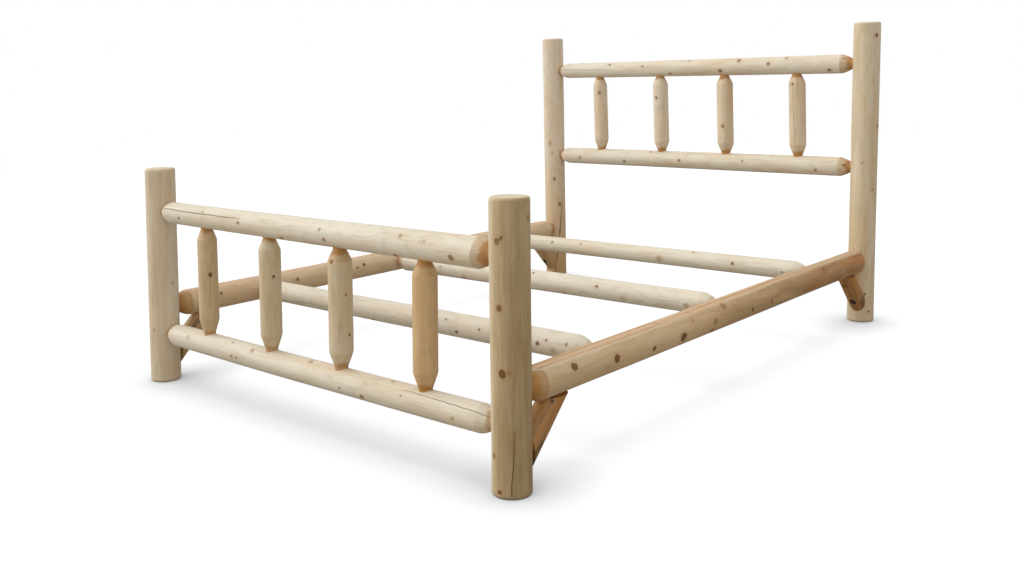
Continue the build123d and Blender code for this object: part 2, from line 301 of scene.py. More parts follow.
def open_check(log, along, around):
    """A drying check as a V-shaped groove, with painted shade in it: its bottom and, faintly, its lips
    are painted dark. Its line goes straight from its first angle to its second, plus a slow wander;
    the columns beside it follow that line, and its width rises and falls as a half ellipse between
    its two ends."""
    depth = np.zeros_like(along)
    groove_painted_shade = np.zeros_like(along)
    moved = around.copy()
    radius = (log.radius_low + log.radius_high) / 2
    for number, (first, second, start, end, width, dark) in enumerate(log.checks):
        start, end, width = start / 1000, end / 1000, width / 1000
        middle = math.radians(first + second) / 2
        share = (along - start) / (end - start)
        inside = np.clip(share, 0, 1)
        ragged = 1 + 0.4 * waver(along, along * 0, log.seed + 31 * number, (0, 0), (0.012, 0.06), 5)
        mouth = width * np.sqrt(np.maximum(1 - (2 * inside - 1) ** 2, 0)) * ragged
        line = math.radians(second - first) * (inside - 0.5) + CHECK_WANDER / radius * waver(
            along, along * 0, log.seed + 77 * number, (0, 0), (0.03, 0.4), 8)
        away = turn_between(around, middle)
        reach = 0.3 + abs(math.radians(second - first))
        near = np.clip(1 - np.maximum(np.abs(away) - 0.02, 0) / reach, 0, 1)
        lips = np.abs(np.abs(away) - LIP) < 1e-4
        centre = np.abs(away) < 1e-4
        open_half = np.maximum(mouth / 2, CLOSED_CHECK) / radius
        moved = moved + line * near + np.where(lips, np.sign(away) * (open_half - LIP), 0)
        depth = np.where(centre, depth + np.minimum(mouth, CHECK_DEPTH), depth)
        # Painted shade: the middle column of an open check, and its lips a little, are painted dark for the
        # shade in the groove
        shown = np.where(centre, dark, np.where(lips, dark * 0.3, 0.0))
        groove_painted_shade = np.where(mouth > CLOSED_CHECK, np.maximum(groove_painted_shade, shown), groove_painted_shade)
    return moved, depth, groove_painted_shade


def knot_field(log, along, around):
    """For every point, the place of the nearest knot seen from it, along and across the grain in
    knot radii, and its distance in knot radii as a third number, which has no jump halfway
    between two knots. Also how dark that knot is, how near it is as a bell curve of the distance,
    and how far the grain swerves round it."""
    if not log.knots:
        none = np.zeros_like(along)
        return np.full(along.shape + (3,), NO_KNOT), none, none, none
    place, angle, diameter, dark = np.array(log.knots, dtype=float).T
    across = diameter / 2000
    radius = (log.radius_low + log.radius_high) / 2
    lengthwise = (along[..., None] - place / 1000) / (across * 1.15)
    sideways = turn_between(around[..., None], np.radians(angle)) * radius / across
    distance = np.hypot(lengthwise, sideways)
    nearest = distance.argmin(axis=-1)[..., None]
    d_along, d_across, reach = (
        np.take_along_axis(seen, nearest, -1)[..., 0] for seen in (lengthwise, sideways, distance))
    size = across[nearest[..., 0]]
    swerve = -0.7 * d_across * size / radius * np.exp(-(d_along / 3.2) ** 2 - (d_across / 2.2) ** 2)
    bell = np.minimum(size / 0.009, 1.3) * np.exp(-(reach / 1.6) ** 2)
    vector = np.clip(np.stack([d_along, d_across, reach], axis=-1), -NO_KNOT, NO_KNOT)
    return vector, dark[nearest[..., 0]], bell, swerve


def knots_out_of_view(log):
    """Knots on the side of a log that the camera doesn't see, at even steps along it with a
    seeded scatter, so that the bed looks the same from all sides."""
    forward, zero, ninety = DIRECTIONS[log.axis]
    towards = CAMERA_PLACE - log.middle
    seen = math.degrees(math.atan2(towards @ ninety, towards @ zero))
    rng = np.random.default_rng(log.seed + 900)
    span = (log.high - log.low) * 1000
    count = max(1, round(span / KNOT_STEP))
    place = log.low * 1000 + span * (np.arange(count) + rng.uniform(0.15, 0.85, count)) / count
    angle = seen + 180 + rng.uniform(-68, 68, count)
    across = rng.uniform(6, 15, count)
    dark = rng.uniform(0.5, 1.0, count)
    return [tuple(knot) for knot in np.stack([place, angle, across, dark], axis=-1)]


def shoulder_cut_radius(log, sizes, along, around):
    """Radius that the knife leaves: at each end the tenon and, past its neck, the shoulder, whose
    facets and roughness grow over its first half."""
    worked = np.full_like(along, UNCUT)
    if log.tenon is None:
        return worked
    tenon_radius = log.tenon / 2
    for end, past_face, radius in (
            (0, along - log.low, log.radius_low), (1, log.high - along, log.radius_high)):
        straight = shoulder_radius(
            past_face - log.neck, log.shoulders[end], tenon_radius, radius - sizes.peel_margin,
            log.bulge)
        cut_in = np.clip((past_face - log.neck) / (0.5 * log.shoulders[end]), 0, 1)
        chip = facets(around, log.seed + 11 * end, 9 + (log.seed + end) % 4)
        rough = 0.0003 * waver(along, around, log.seed + 3 * end, (3, 9), (0.03, 0.09), 8)
        shaped = straight * (1 + cut_in * log.chipped * (chip - 1)) + rough * cut_in
        worked = np.minimum(worked, np.where(past_face < 0, tenon_radius, shaped))
    return worked


def flat_cut_radius(log, along, around):
    """Radius that a saw or plane leaves: a flat's distance from the log's axis over the cosine of
    the angle from the way it faces."""
    level = np.full_like(along, UNCUT)
    for facing, distance, start, end in log.flats:
        away = np.cos(turn_between(around, facing))
        plane = distance / np.maximum(away, 0.05)
        level = np.minimum(level, np.where((along >= start) & (along <= end), plane, UNCUT))
    return level


def log_grids(log, sizes):
    """A log's rows, and its grids of rows and columns by name: the place along it, the angle
    around it, the radius and what its finish reads.

    The radius is the least of the bark surface (a straight taper with slow waver and a rise at
    each knot), the shoulders and the flats. A check takes its depth off."""
    rows = row_places(log, sizes)
    along, around = np.meshgrid(rows, column_angles(log, sizes), indexing="ij")
    around, check_depth, check_painted_shade = open_check(log, along, around)
    share = log.share(along)
    taper = log.radius_low + (log.radius_high - log.radius_low) * np.clip(share, 0, 1)
    slow = waver(along, around, log.seed, (1, 4), (0.5, 2.2), 9)
    flutes = waver(along, around, log.seed + 5, (5, 13), (0.6, 3.0), 12)
    knots, knot_dark, bell, swerve = knot_field(log, along, around)
    bark = taper - sizes.peel_margin + sizes.bark_waver * (slow + 0.5 * flutes)
    bark = np.minimum(bark + sizes.knot_rise * bell, taper)
    worked = shoulder_cut_radius(log, sizes, along, around)
    level = flat_cut_radius(log, along, around)
    round_radius = np.minimum(bark, worked)
    radius = np.minimum(round_radius, level)
    flat_cut = round_radius - level
    below = bark - radius + 0.0016 * bell
    below = below + 0.0024 * waver(along, around, log.seed + 8, (1, 6), (0.12, 0.8), 14)
    return rows, {
        "along": along,
        "around": around,
        "radius": radius - check_depth * np.where(flat_cut > 0, 0.3, 1.0),
        "swerve": swerve,
        "end_grain": np.zeros_like(bark),
        "knot": knots,
        "worked": np.stack([bark - worked, flat_cut, below], axis=-1) * 1000,
        "look": np.stack([knot_dark, check_painted_shade, along_log(log.heart, share)], axis=-1),
    }


def capped(log, sizes, rows, grids):
    """Adds rows that close a post: its edge turns in on a quarter circle and the end is flat."""
    steps = np.linspace(0, np.pi / 2, 6)
    rings = [0.012, 0.020, 0.028, 0.036, 0.043]
    inward = np.concatenate([sizes.top_round * (1 - np.cos(steps)), rings])[:, None]
    back = np.concatenate([sizes.top_round * (1 - np.sin(steps)), np.zeros(len(rings))])[:, None]
    room = sizes.top_round * 1.2
    keep = (rows > log.low + room) & (rows < log.high - room)
    caps = []
    for edge, place in ((0, log.low + back), (-1, log.high - back)):
        cap = {name: np.repeat(grid[edge][None], len(place), axis=0) for name, grid in grids.items()}
        rim = grids["radius"][edge]
        cap["along"] = np.broadcast_to(place, cap["along"].shape)
        cap["radius"] = rim - inward * rim / rim.mean()
        cap["swerve"] = cap["swerve"] * 0
        cap["end_grain"] = cap["end_grain"] + np.clip((inward - 0.0045) / 0.002, 0, 1)
        cap["knot"] = np.full_like(cap["knot"], NO_KNOT)
        cap["worked"][..., 2] += inward * 1000
        cap["look"] = cap["look"] * np.array([0.0, 0.0, 1.0])
        caps.append(cap)
    return {
        name: np.concatenate([caps[0][name][::-1], grid[keep], caps[1][name]])
        for name, grid in grids.items()}


def grid_faces(row_count, column_count):
    """Quads between neighbouring rows, closed round the log, and a fan at each end's pole."""
    point = np.arange(row_count * column_count).reshape(row_count, column_count)
    beside = np.roll(point, -1, axis=1)
    quads = np.stack([point[:-1], beside[:-1], beside[1:], point[1:]], axis=-1).reshape(-1, 4)
    pole = np.full(column_count, point.size)
    low_fan = np.stack([pole, beside[0], point[0]], axis=-1)
    high_fan = np.stack([pole + 1, point[-1], beside[-1]], axis=-1)
    return quads.tolist() + low_fan.tolist() + high_fan.tolist()


def place_log(log, along, around, radius):
    """Turns (along, around, radius) into points: the log's axis point, which leans evenly from one
    end to the other and sags as a half sine, plus the radius in the direction of the angle."""
    forward, zero, ninety = DIRECTIONS[log.axis]
    share = np.clip(log.share(along), 0, 1)
    zero_part = radius * np.cos(around) + along_log(log.lean_0, share) - log.sag * np.sin(np.pi * share)
    ninety_part = radius * np.sin(around) + along_log(log.lean_90, share)
    base = log.middle - forward * (log.middle @ forward)
    return (base + along[..., None] * forward + zero_part[..., None] * zero
            + ninety_part[..., None] * ninety)


def with_poles(field):
    """A field's rows laid out as one list, with the mean of its first and last rows at the end."""
    flat = field.reshape((-1,) + field.shape[2:])
    return np.concatenate([flat, field[:1].mean(axis=1), field[-1:].mean(axis=1)])


def add_object(name, data):
    """A new object in the scene, with that mesh, lamp or camera."""
    made = bpy.data.objects.new(name, data)
    bpy.context.scene.collection.objects.link(made)
    return made


def make_log(log, sizes, finish):
    """One peeled log that stands for its CAD node and stays inside the bed's box, with the point
    attributes that its finish reads."""
    log.knots = list(log.knots) + knots_out_of_view(log)
    rows, grids = log_grids(log, sizes)
    if log.tenon is None:
        grids = capped(log, sizes, rows, grids)
    along, around, radius = (grids.pop(name) for name in ("along", "around", "radius"))
    points = np.clip(place_log(log, along, around, radius), *np.array(CAD_BOX))
    mesh = bpy.data.meshes.new(log.node + "_log")
    mesh.from_pydata(with_poles(points), [], grid_faces(*along.shape), shade_flat=False)
    own_wood = (log.seed % 97) * 1.37
    bent = around + grids.pop("swerve")
    # Painted light: the tone is lowered, so the wood is painted paler, on the side that faces the lamp
    facing, painted_light_share = log.pale_side
    painted_light_lift = painted_light_share * np.maximum(np.cos(around - math.radians(facing)), 0) ** 6
    tone = along_log(log.tone, log.share(along)) - painted_light_lift
    blush = along_log(log.blush, log.share(along))
    grids["tone"] = np.stack([tone, blush, grids.pop("end_grain")], axis=-1)
    grids["grain"] = np.stack([along + own_wood, radius * np.cos(bent), radius * np.sin(bent)], axis=-1)
    for name, field in grids.items():
        painted = mesh.attributes.new(name, "FLOAT_VECTOR", "POINT")
        painted.data.foreach_set("vector", with_poles(field).astype(np.float32).ravel())
    piece = add_object(mesh.name, mesh)
    mesh.materials.append(finish)
    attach(piece, BODY)
    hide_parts(log.node)


# ---------------------------------------------------------------- finishes

class Shading:
    """The node tree of a material or of the sky. Most methods add a node and return the socket
    that it feeds."""

    def __init__(self, owner):
        self.owner = owner
        owner.use_nodes = True
        self.tree = owner.node_tree
        self.tree.nodes.clear()

    def node(self, kind, values=(), **fields):
        """A node of that kind, with its fields set and its inputs linked or filled in order."""
        made = self.tree.nodes.new("ShaderNode" + kind)
        for name, value in fields.items():
            setattr(made, name, value)
        for key, value in (values.items() if isinstance(values, dict) else enumerate(values)):
            self.feed(made.inputs[key], value)
        return made

    def feed(self, socket, value):
        """Links a socket to another, or sets its own value: red, green and blue for a colour. None
        leaves it alone."""
        if isinstance(value, bpy.types.NodeSocket):
            self.tree.links.new(value, socket)
        elif value is not None:
            socket.default_value = (*value, 1.0) if socket.type == "RGBA" else value

    def parts(self, vector):
        """The three numbers of a vector."""
        return list(self.node("SeparateXYZ", [vector]).outputs)

    def attribute(self, name):
        return self.node("Attribute", attribute_name=name).outputs["Vector"]

    def math(self, operation, a, b=None, clamp=False):
        return self.node("Math", [a, b], operation=operation, use_clamp=clamp).outputs[0]

    def times(self, a, b, clamp=False):
        return self.math("MULTIPLY", a, b, clamp)

    def plus(self, a, b, clamp=False):
        return self.math("ADD", a, b, clamp)

    def minus(self, a, b):
        return self.math("SUBTRACT", a, b)

    def step(self, value, start, end, low=0.0, high=1.0):
        """Smooth step of value from start to end, going from low to high."""
        return self.node(
            "MapRange", [value, start, end, low, high], interpolation_type="SMOOTHSTEP").outputs[0]

    def noise(self, vector, factors, detail=4.0, roughness=0.6, distortion=0.0):
        """Noise whose cells per metre along X, Y and Z are the factors."""
        stretched = self.node("VectorMath", [vector, factors], operation="MULTIPLY").outputs[0]
        values = {"Vector": stretched, "Scale": 1.0, "Detail": detail, "Roughness": roughness,
                  "Distortion": distortion}
        return self.node("TexNoise", values).outputs[0]

    def swing(self, noise, size):
        """How far a noise lies from its middle, times a size."""
        return self.times(self.minus(noise, 0.5), size)

    def blend(self, share, low, high, mode="MIX"):
        """Colour that goes from low to high as share goes from 0 to 1."""
        made = self.node("Mix", data_type="RGBA", blend_type=mode)
        for place, value in ((0, share), (6, low), (7, high)):
            self.feed(made.inputs[place], value)
        return made.outputs[2]

    def layered(self, base, *coats):
        """A colour with coats on it, each of them the share that it covers and its colour."""
        for share, tint in coats:
            base = self.blend(share, base, tint)
        return base

    def surface(self, colour_socket, roughness, bump_height, bump_distance, **constants):
        """Ends the tree in a principled surface with a bump."""
        bump = self.node("Bump", {"Strength": 1.0, "Distance": bump_distance, "Height": bump_height})
        values = {"Base Color": colour_socket, "Roughness": roughness, "Normal": bump.outputs[0]}
        values.update(constants)
        shader = self.node("BsdfPrincipled", values)
        self.node("OutputMaterial", [shader.outputs[0]])
        return self.owner


def peeled_wood(material, colours):
    """Peeled cedar that follows each log: streaks along it, growth layers laid bare where it is
    cut, knots with a dark rim, and checks painted dark in their grooves as painted shade. It reads only the
    logs' own attributes."""
    wood = Shading(material)
    grain = wood.attribute("grain")
    knot = wood.attribute("knot")
    tone, blush, end_grain = wood.parts(wood.attribute("tone"))
    shoulder_cut, flat_cut, below = wood.parts(wood.attribute("worked"))
    knot_dark, check, heart = wood.parts(wood.attribute("look"))
    blotch = wood.noise(grain, (2.2, 14, 14))
    cloud = wood.noise(grain, (9, 45, 45))
    streak = wood.noise(grain, (6, 170, 170), 4.0, 0.65, 0.25)
    fibre = wood.noise(grain, (24, 700, 700), 2.0)
    fleck = wood.noise(grain, (60, 330, 330), 2.0, 0.5)

    # The bare wood goes through its colours as its shade rises, and left bark scabs on the darkest
    rough_bark = wood.step(tone, 0.88, 1.12)
    uneven = wood.plus(0.8, wood.times(rough_bark, 2.2))
    shade = tone
    for pattern, size in ((blotch, uneven), (cloud, 0.45), (streak, 0.42)):
        shade = wood.plus(shade, wood.swing(pattern, size))
    bare = colours.pale
    for start, darker in ((0.0, colours.honey), (0.5, colours.tan), (1.0, colours.amber)):
        bare = wood.blend(wood.times(wood.minus(shade, start), 2.0, True), bare, darker)
    warm = wood.noise(grain, (3.4, 26, 26), 3.0, 0.6, 0.4)
    blush = wood.plus(blush, wood.step(warm, 0.45, 0.75, -0.15, 0.35), True)
    bare = wood.blend(1.0, bare, wood.blend(blush, (1, 1, 1), colours.blush), "MULTIPLY")
    scab = wood.times(rough_bark, wood.step(cloud, 0.48, 0.62, 0.0, 0.5))
    bare = wood.blend(scab, bare, colours.knot)

    # Late wood of the growth layers, by how far a point lies below the bark
    layers = wood.plus(below, wood.times(cloud, 1.6))
    rings = wood.math("SINE", wood.times(layers, 2 * math.pi / RING_GAP))
    late = wood.times(wood.step(rings, 0.2, 1.0), wood.step(streak, 0.3, 0.62))
    late_tint = wood.blend(0.55, bare, colours.tan)
    bare = wood.blend(wood.times(late, 0.34), bare, late_tint)

    # Shoulders cut by the knife, down to the heartwood where they go deep
    knife = wood.noise(grain, (26, 150, 150), 3.0, 0.65)
    ragged = wood.swing(streak, 0.8)
    deep_cut = wood.step(wood.plus(below, wood.swing(cloud, 12.0)), 6.0, 13.0)
    cut_tint = wood.layered(
        colours.cut,
        (wood.step(knife, 0.42, 0.85), late_tint),
        (wood.times(late, 0.5), colours.tan),
        (wood.times(deep_cut, 0.85), colours.amber))
    shoulder = wood.step(wood.plus(shoulder_cut, ragged), -0.1, 0.6)
    shoulder = wood.times(shoulder, wood.times(wood.plus(deep_cut, heart, True), 0.9))

    # Sawn flats, with a broken pale lip outside their edge and a darker line inside it
    sawn_line = wood.noise(grain, (1.0, 60, 170), 3.0)
    sawn_tint = wood.layered(
        colours.sawn,
        (wood.step(sawn_line, 0.53, 0.58, 0.0, 0.95), colours.cut),
        (wood.step(streak, 0.5, 0.7, 0.0, 0.5), colours.cut),
        (wood.times(rough_bark, 0.4), colours.tan))
    flat = wood.step(wood.plus(flat_cut, wood.times(ragged, 0.3)), 0.0, 0.25)
    lip = wood.times(wood.step(flat_cut, -4.0, -2.0), wood.step(flat_cut, 0.4, -0.8, 0.0, 0.5))
    edge = wood.times(wood.step(flat_cut, 0.0, 1.2), wood.step(flat_cut, 4.5, 2.5, 0.0, 0.6))
    broken = wood.step(blotch, 0.44, 0.56)

    # Knots: a warm halo, and a heart with rings inside a ring of bark
    flat_knot = wood.node("VectorMath", [knot, (1, 1, 0)], operation="MULTIPLY").outputs[0]
    reach = wood.node("VectorMath", [flat_knot], operation="LENGTH").outputs["Value"]
    reach = wood.math("MAXIMUM", reach, wood.minus(wood.parts(knot)[2], 0.8))
    reach = wood.plus(reach, wood.swing(wood.noise(grain, (170, 170, 170), 2.0, 0.55), 0.6))
    heart_ring = wood.step(wood.math("SINE", wood.times(reach, 13.0)), -0.1, 0.9, 0.0, 0.6)
    rim = wood.times(wood.step(reach, 0.72, 0.98), wood.step(cloud, 0.35, 0.6, 0.5, 1.0))
    core = wood.times(wood.step(reach, 1.12, 0.92), knot_dark)

    surface = wood.layered(
        bare,
        (shoulder, cut_tint),
        (wood.times(flat, 0.9), sawn_tint),
        (wood.times(lip, broken), colours.pale),
        (wood.times(edge, broken), colours.cut),
        (end_grain, wood.blend(wood.times(late, 0.4), colours.end, colours.cut)),
        (wood.step(fibre, 0.56, 0.8, 0.0, 0.42), colours.tan),
        (wood.step(fleck, 0.66, 0.78, 0.0, 0.6), colours.cut),
        (wood.step(reach, 2.4, 0.8, 0.0, 0.35), colours.cut),
        (core, wood.layered(colours.knot, (heart_ring, colours.rim), (rim, colours.rim))),
        # Painted shade: the bottom of each open check
        (wood.times(check, wood.step(cloud, 0.3, 0.5, 0.5, 1.0)), colours.check))

    height = wood.plus(wood.times(streak, 0.6), wood.times(fibre, 0.35))
    height = wood.plus(height, wood.times(late, 0.1))
    height = wood.minus(height, wood.times(core, 0.3))
    dull = wood.plus(wood.times(core, 0.3), wood.times(check, 0.6))
    roughness = wood.plus(wood.step(streak, 0.2, 0.8, 0.38, 0.55), dull)
    roughness = wood.plus(roughness, wood.times(flat, 0.35), True)
    gloss = {"Specular IOR Level": 0.2, "Sheen Weight": 0.04, "Sheen Roughness": 0.4}
    return wood.surface(surface, roughness, height, 0.0012, **gloss)


def brace_wood(material, colours):
    """Darker peeled wood of the corner braces, with streaks at 45 degrees that run down from the
    side rail to the post at both ends of the bed: the height goes with the distance along it."""
    wood = Shading(material)
    place = wood.node("TexCoord").outputs["Object"]
    mirrored = wood.node("VectorMath", [place], operation="ABSOLUTE").outputs[0]
    tilt = (math.radians(-45), 0, 0)
    turned = wood.node("Mapping", {"Vector": mirrored, "Rotation": tilt}).outputs[0]
    streak = wood.noise(turned, (110, 110, 6), 3.0, 0.6, 0.3)
    blotch = wood.noise(turned, (22, 22, 5), 3.0)
    fibre = wood.noise(turned, (620, 620, 25), 2.0)
    left = wood.math("LESS_THAN", wood.parts(place)[0], 0.0)
    light = wood.blend(left, colours.amber, wood.blend(0.3, colours.cut, colours.honey))
    streaked = wood.times(wood.step(streak, 0.46, 0.72), wood.minus(0.65, wood.times(left, 0.35)))
    from_knot = wood.node("VectorMath", [place, BRACE_KNOT], operation="DISTANCE").outputs["Value"]
    base = wood.layered(
        light,
        (wood.step(blotch, 0.35, 0.65), wood.blend(0.5, light, colours.tan)),
        (streaked, colours.knot),
        (wood.step(blotch, 0.55, 0.66, 0.0, 0.75), colours.rim),
        (wood.step(fibre, 0.6, 0.8, 0.0, 0.15), colours.honey),
        (wood.step(from_knot, 0.006, 0.0035, 0.0, 0.9), colours.rim))
    height = wood.plus(streak, wood.times(fibre, 0.5))
    return wood.surface(base, wood.step(streak, 0.2, 0.8, 0.5, 0.68), height, 0.0008)


def shaded_zinc_steel(material, colours):
    """Zinc plate: grey with faint cloudy crystals and a slightly uneven gloss, painted far darker than bare
    zinc as painted shade for the screw heads sunk in their counterbores.
    """
    steel = Shading(material)
    cloud = steel.noise(steel.node("TexCoord").outputs["Object"], (260, 260, 260), 3.0)
    tint = steel.blend(steel.step(cloud, 0.3, 0.7), colours.shaded_steel_dark, colours.shaded_steel_light)
    gloss = steel.step(cloud, 0.2, 0.8, 0.55, 0.75)
    return steel.surface(tint, gloss, cloud, 0.0001, Metallic=1.0)


def shared(name, fill_in, colours):
    """The material of that name, made the first time it is asked for."""
    return bpy.data.materials.get(name) or fill_in(bpy.data.materials.new(name), colours)


# ---------------------------------------------------------------- the bed's logs

def post_log(node, sizes, work):
    """A post, with the flat for its corner brace on the side that faces the side rail."""
    low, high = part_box(node)
    radius = (high.x - low.x) / 2
    end, _, side = node.split("_")
    brace_low, brace_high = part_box(f"corner_brace_{end}_{side}")
    if end == "foot":
        facing, distance = math.pi, brace_low.y - (low.y + high.y) / 2
    else:
        facing, distance = 0.0, (low.y + high.y) / 2 - brace_high.y
    flats = [(facing, distance, brace_low.z, brace_high.z)]
    return Log(node, "z", low.z, high.z, (radius, radius), flats=flats, **work)


def spindle_log(node, sizes, work):
    """An upright spindle, with a tenon at each end."""
    low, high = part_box(node)
    radius = (high.x - low.x) / 2
    inside = SPINDLE_TENON_LENGTH
    return Log(
        node, "z", low.z + inside, high.z - inside, (radius, radius),
        tenon=sizes.spindle_tenon, tenon_length=inside, neck=0.002, chipped=0.15,
        bulge=sizes.spindle_bulge, shoulders=(sizes.spindle_foot, sizes.spindle_head), **work)


def lying_log(node, sizes, axis, tenon, tenon_length, radii, **work):
    """A rail or slat between two faces, with a tenon at each end."""
    low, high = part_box(node)
    place = "xy".index(axis)
    return Log(
        node, axis, low[place] + tenon_length, high[place] - tenon_length, radii,
        tenon=tenon, tenon_length=tenon_length, bulge=sizes.bulge, **work)


def panel_rail_log(node, sizes, work):
    """A cross rail between two posts."""
    return lying_log(node, sizes, "x", sizes.panel_tenon, PANEL_TENON_LENGTH, **work)


def slat_log(node, sizes, work):
    """A cross slat between the side rails."""
    return lying_log(node, sizes, "x", sizes.slat_tenon, SLAT_TENON_LENGTH, **work)


def side_rail_log(node, sizes, work):
    """A side rail, with its sawn top and the flats for its two corner braces."""
    low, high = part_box(node)
    radius = (high.x - low.x) / 2
    axis_height = low.z + radius
    flats = [(0.0, high.z - axis_height, low.y, high.y)]
    for end in ("foot", "head"):
        brace_low, brace_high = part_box(node.replace("side_rail", "corner_brace_" + end))
        flats.append((math.pi, axis_height - brace_high.z, brace_low.y, brace_high.y))
    log = lying_log(
        node, sizes, "y", sizes.side_tenon, SIDE_TENON_LENGTH, (radius, radius), flats=flats, **work)
    log.middle[2] = axis_height
    return log


# What is worked into each log. Places along it are in millimetres, in the bed's own frame, and
# angles in degrees. A knot is (place, angle, diameter, darkness); a check is (first angle, last
# angle, first place, last place, width, darkness of the painted shade in its groove). Radii are in
# metres. Tone (pale to dark), heart (how much of it the shoulders lay bare) and blush (how pink
# it is) run at even steps from a log's low end to its high end. So do the leans, which say how far
# the axis stands off towards 0 and 90 degrees, in metres, and sag is its drop halfway. A painted
# lit side is (angle, how much paler): painted light, paler on the side that faces the lamp from
# the left foot side.
POST_WORK = {
    "foot_post_left": {
        "tone": (0.24, 0.18), "blush": (0.3, 0.3),
        "lean_0": (0.0018, -0.0098), "lean_90": (-0.0016, 0.0042),
        "knots": [(325, 97, 7, 0.25), (174, 14, 7, 0.35)],
    },
    "foot_post_right": {
        # Painted light: this post is painted paler on its side towards the lamp from the left foot side
        "tone": (0.88, 0.84, 0.82, 0.70), "blush": (0.0, 0.0), "pale_side": (-50, 0.7),
        "lean_0": (0.0009, -0.0009), "lean_90": (-0.0018, 0.0018),
        "knots": [
            (599, 2, 14, 0.75), (609, 17, 5, 0.9), (447, 7, 14, 0.85), (296, 15, 17, 1.0),
            (98, -19, 10, 0.8), (15, 3, 11, 1.0), (650, 100, 13, 0.35), (302, 42, 9, 0.08)],
        "checks": [(29, 48, -125, 165, 2.2, 1.0), (58, 60, 556, 606, 1.2, 0.5)],
    },
    "head_post_left": {
        "tone": (0.80, 0.36, 0.12, 0.04, 0.0), "blush": (1.1, 0.9, 0.6, 0.55, 0.5),
        "lean_0": (-0.0016, 0.0016), "lean_90": (0.0021, -0.0021),
        "knots": [(650, 10, 14, 0.3), (606, 24, 9, 0.2), (480, 33, 12, 0.8), (358, 62, 13, 0.8)],
        "checks": [(22, 84, -40, 400, 5.0, 1.0)],
    },
    "head_post_right": {
        "tone": (0.40, 0.36), "blush": (0.0, 0.0),
        "lean_0": (0.0017, -0.0017), "lean_90": (-0.0034, 0.0034),
        "knots": [
            (1092, 64, 14, 0.9), (754, 88, 11, 0.9), (614, 12, 7, 0.5), (512, 61, 7, 0.7),
            (110, 38, 8, 0.8), (42, 58, 8, 0.9)],
    },
}
PANEL_WORK = {
    "footboard_upper_rail": {
        "radii": (0.03475, 0.039), "tone": (0.06, 0.08), "heart": (0.15, 0.5), "chipped": 0.08,
        "knots": [
            (-565, 101, 9, 0.7), (-254, 85, 9, 0.7), (-441, 51, 7, 0.4), (109, 67, 8, 0.5),
            (127, 109, 10, 0.7), (-64, 135, 9, 0.9), (40, 165, 9, 0.9), (412, 52, 10, 0.45),
            (587, 109, 14, 0.7), (387, 143, 12, 0.8), (497, 62, 8, 0.15)],
        "checks": [(62, 66, -685, -245, 2.6, 1.0)],
    },
    "footboard_lower_rail": {
        "radii": (0.03625, 0.0375), "tone": (0.08, 0.12), "heart": (0.1, -0.35),
        "sag": 0.002, "lean_0": (0.0, 0.0015),
        "knots": [
            (-548, 63, 10, 0.25), (-331, 28, 7, 0.6), (-225, 42, 13, 0.35), (-316, 96, 8, 0.7),
            (-290, 96, 8, 0.7), (27, 18, 11, 0.4), (171, 102, 7, 0.7), (256, 116, 13, 0.7),
            (402, 65, 5, 0.6), (349, 11, 9, 0.4), (580, 98, 8, 0.4)],
        "checks": [(38, 62, 400, 860, 2.4, 0.95)],
    },
    "headboard_upper_rail": {
        "radii": (0.03425, 0.0375), "tone": (0.08, 0.02), "heart": (0.1, 0.6),
        "knots": [
            (-401, 48, 11, 0.8), (-225, 71, 11, 0.5), (-558, 23, 9, 0.5), (-91, 131, 10, 0.8),
            (1, 37, 9, 0.6), (149, 117, 14, 0.8), (230, 47, 14, 0.8), (361, 78, 12, 0.8),
            (431, 36, 11, 0.6), (607, 128, 11, 0.8), (664, 47, 8, 0.7)],
        "checks": [(78, 93, -690, -385, 2.0, 0.9)],
    },
    "headboard_lower_rail": {
        "radii": (0.037, 0.038), "tone": (0.12, 0.10), "heart": (0.1, 0.5),
        "knots": [
            (-562, 99, 12, 0.6), (-320, 112, 11, 0.7), (-41, 89, 10, 0.7), (-191, 33, 10, 0.4),
            (251, 75, 8, 0.6), (559, 114, 10, 0.7), (669, 73, 10, 0.8), (375, 20, 8, 0.4)],
    },
}
SLAT_WORK = {
    "cross_slat_foot": {
        "radii": (0.0345, 0.037), "tone": (0.02, -0.04), "heart": (0.5, -0.6),
        "lean_0": (-0.004, 0.004),
        "knots": [
            (543, 86, 10, 0.9), (571, 66, 7, 0.6), (637, 68, 8, 0.6), (594, 105, 13, 0.12),
            (334, 75, 7, 0.8), (248, 107, 10, 0.8), (-113, 140, 10, 0.8), (203, 56, 7, 0.5)],
        "checks": [(121, 108, -560, -310, 1.8, 0.9)],
    },
    "cross_slat_middle": {
        "radii": (0.036, 0.0365), "tone": (-0.02, -0.08), "heart": (0.8, -0.6),
        "lean_0": (-0.004, 0.004),
        "knots": [
            (-3, 36, 8, 0.8), (274, 67, 9, 0.8), (134, 137, 15, 0.3), (377, 117, 15, 0.14),
            (611, 101, 14, 0.3), (-328, 130, 16, 0.35), (-443, 79, 9, 0.4)],
    },
    "cross_slat_head": {
        "radii": (0.032, 0.0355), "tone": (0.06, 0.0), "heart": (0.2, -0.6),
        "lean_0": (-0.004, 0.004),
        "knots": [
            (-416, 64, 12, 0.6), (-269, 55, 8, 0.6), (111, 100, 19, 0.3), (252, 25, 8, 0.7),
            (425, 78, 11, 0.8), (619, 97, 8, 0.5)],
    },
}
